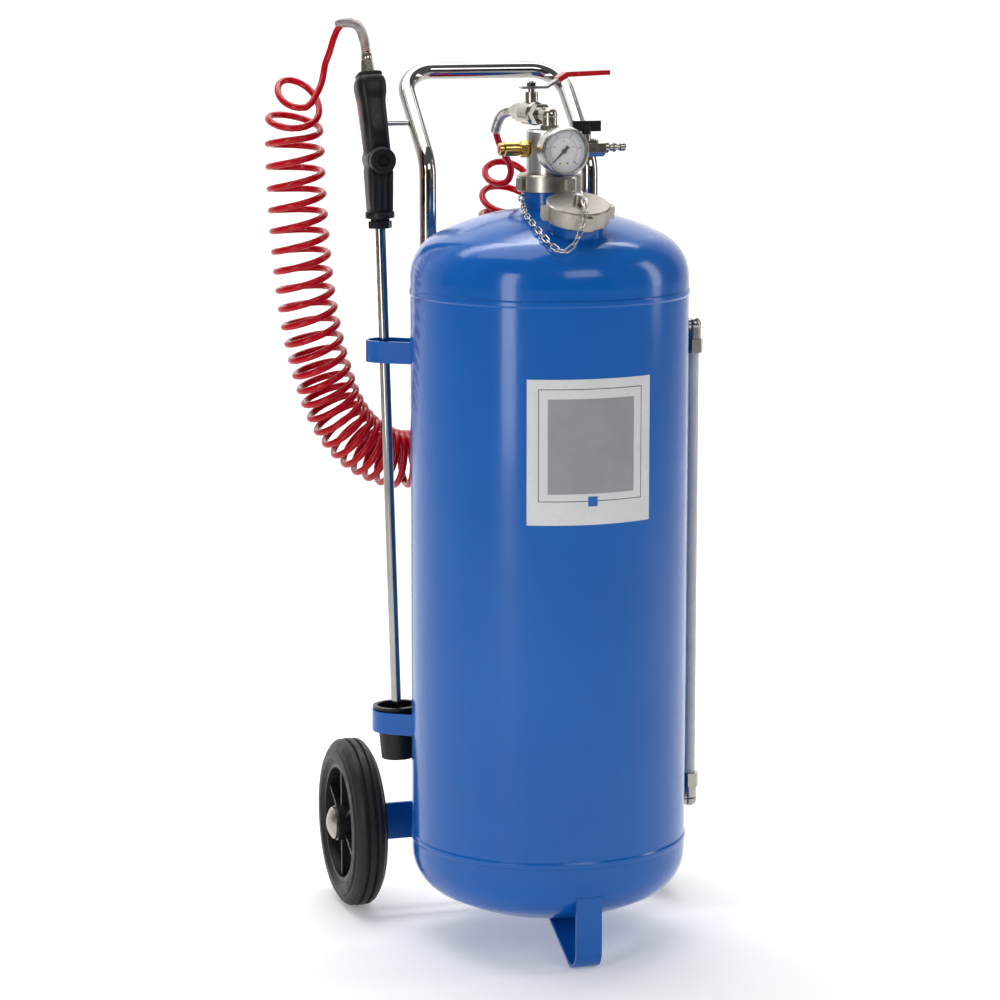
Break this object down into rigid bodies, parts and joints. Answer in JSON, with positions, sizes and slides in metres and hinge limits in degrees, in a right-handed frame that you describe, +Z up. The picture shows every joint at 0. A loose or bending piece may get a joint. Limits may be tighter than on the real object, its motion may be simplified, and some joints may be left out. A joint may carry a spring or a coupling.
{
  "type": "wheeled pressure sprayer",
  "caption": "Upright pressure tank on a foot and wheels, with push handle, valve manifold, pressure gauge, filler cap, level tube, and a spray gun with lance on a spiral hose.",
  "frame": {"origin": "on the floor, under the middle of the object without its hose", "axes": "+Z up, -Y towards the side with the gauge and the filler cap, +X towards the level tube"},
  "size_m": [0.4999, 0.4507, 1.0555],
  "materials": {
    "tank_paint": "gloss blue enamel",
    "tyre_rubber": "matt black solid rubber",
    "rim_plastic": "moulded black",
    "cap_metal": "zinc plated",
    "axle_steel": "bright drawn bar",
    "handle_chrome": "bright chrome plate",
    "cup_plastic": "moulded black",
    "lance_steel": "polished stainless tube",
    "nozzle_brass": "turned",
    "gun_plastic": "moulded black, satin",
    "trigger_plastic": "moulded orange",
    "pin_steel": "bright steel",
    "spring_steel": "spring wire",
    "swivel_nickel": "nickel plated",
    "hose_red": "glossy red polyurethane",
    "ring_nickel": "satin nickel, cast and turned",
    "manifold_steel": "turned, satin",
    "seal_rubber": "black nitrile",
    "dip_steel": "drawn tube",
    "valve_nickel": "nickel plated brass",
    "ball_chrome": "polished",
    "lever_steel": "zinc plated flat bar",
    "lever_grip_red": "dipped red vinyl",
    "handle_black": "moulded black",
    "plug_nickel": "nickel plated steel",
    "gauge_case_steel": "pressed stainless",
    "gauge_glass": "clear window",
    "dial_face": "pale grey printed dial",
    "pointer_black": "black",
    "gauge_brass": "brass",
    "relief_brass": "brass",
    "chain_steel": "nickel plated wire",
    "level_tube_plastic": "translucent white tube"
  },
  "bodies": {
    "root": {"tank_shell": "tank_paint", "top_head": "tank_paint", "bottom_head": "tank_paint", "centre_neck": "tank_paint", "filler_neck": "tank_paint", "front_foot": "tank_paint", "axle_bracket": "tank_paint", "tank_brackets": "tank_paint", "hub_caps": "cap_metal", "axle": "axle_steel", "push_handle": "handle_chrome", "lance_cup": "cup_plastic", "relief_spring": "spring_steel", "valve_spring_guard": "spring_steel", "outlet_hose_nut": "swivel_nickel", "hose_coil": "hose_red", "hose_lead_valve": "hose_red", "ring_nut": "ring_nickel", "manifold_body": "manifold_steel", "manifold_gasket": "seal_rubber", "dip_tube": "dip_steel", "outlet_elbow": "valve_nickel", "outlet_valve_body": "valve_nickel", "inlet_valve_body": "valve_nickel", "level_fittings": "valve_nickel", "inlet_plug": "plug_nickel", "gauge_case": "gauge_case_steel", "gauge_bezel": "gauge_case_steel", "gauge_glass": "gauge_glass", "gauge_dial": "dial_face", "gauge_movement": "gauge_brass", "relief_body": "relief_brass", "filler_chain": "chain_steel", "level_tube": "level_tube_plastic"},
    "left_wheel": {"left_tyre": "tyre_rubber", "left_rim": "rim_plastic"},
    "right_wheel": {"right_tyre": "tyre_rubber", "right_rim": "rim_plastic"},
    "lance": {"lance_tube": "lance_steel", "lance_nozzle": "nozzle_brass", "lance_nut": "gun_plastic", "gun_body": "gun_plastic", "gun_plug": "gun_plastic", "trigger_pin": "pin_steel", "gun_valve_spring": "spring_steel", "gun_swivel": "swivel_nickel", "gun_spring_guard": "spring_steel", "hose_lead_gun": "hose_red"},
    "trigger": {"gun_trigger": "trigger_plastic"},
    "gun_pin": {"gun_valve_pin": "pin_steel"},
    "outlet_handle": {"outlet_ball": "ball_chrome", "outlet_lever": "lever_steel", "outlet_grip": "lever_grip_red"},
    "inlet_lever": {"inlet_ball": "ball_chrome", "inlet_handle": "handle_black"},
    "cap_stem": {"cap_post": "ring_nickel"},
    "cap": {"filler_cap": "ring_nickel", "filler_gasket": "seal_rubber"},
    "pointer": {"gauge_pointer": "pointer_black"},
    "relief": {"relief_poppet": "relief_brass"}
  },
  "joints": [
    {"name": "left_wheel_spin", "type": "hinge", "parent": "root", "child": "left_wheel", "pos_m": [-0.184, 0.125, 0.1], "axis": [1, 0, 0], "continuous": true},
    {"name": "right_wheel_spin", "type": "hinge", "parent": "root", "child": "right_wheel", "pos_m": [0.184, 0.125, 0.1], "axis": [1, 0, 0], "continuous": true},
    {"name": "lance_lift", "type": "slide", "parent": "root", "child": "lance", "axis": [-0.024, 0.0174, 0.9996], "range_m": [0, 0.5]},
    {"name": "trigger_pull", "type": "hinge", "parent": "lance", "child": "trigger", "pos_m": [-0.16625, 0.07835, 0.8743], "axis": [0.9997, 0.0002, 0.024], "range_deg": [0, 8.5], "stiffness_Nm_per_rad": 0.6, "springref_deg": -4.58},
    {"name": "gun_pin_travel", "type": "slide", "parent": "lance", "child": "gun_pin", "axis": [-0.0002, -0.9998, 0.0174], "range_m": [0, 0.0031], "deforming": ["gun_valve_spring"]},
    {"name": "outlet_lever_turn", "type": "hinge", "parent": "root", "child": "outlet_handle", "pos_m": [-0.00764, -0.02367, 0.949], "axis": [0, 0, 1], "range_deg": [0, 90]},
    {"name": "inlet_lever_turn", "type": "hinge", "parent": "root", "child": "inlet_lever", "pos_m": [0.043, -0.067, 0.912], "axis": [0, 0, 1], "range_deg": [0, 90]},
    {"name": "filler_cap_lift", "type": "slide", "parent": "root", "child": "cap_stem", "axis": [0, -0.2924, 0.9563], "range_m": [0, 0.0121], "deforming": ["filler_chain"]},
    {"name": "filler_cap_turn", "type": "hinge", "parent": "cap_stem", "child": "cap", "pos_m": [0, -0.162, 0.83047], "axis": [0, -0.2924, 0.9563], "range_deg": [0, 1080]},
    {"name": "pointer_sweep", "type": "hinge", "parent": "root", "child": "pointer", "pos_m": [0, -0.067, 0.912], "axis": [0, 1, 0], "range_deg": [0, 270], "stiffness_Nm_per_rad": 0.0004},
    {"name": "relief_travel", "type": "slide", "parent": "root", "child": "relief", "axis": [-1, 0, 0], "range_m": [0, 0.002], "stiffness_N_per_m": 2500, "springref_m": -0.001, "deforming": ["relief_spring"]}
  ],
  "couplings": [
    {"joint": "gun_pin_travel", "follows": "trigger_pull", "m_per_rad": 0.0203},
    {"joint": "filler_cap_lift", "follows": "filler_cap_turn", "m_per_rad": 0.0006366}
  ]
}
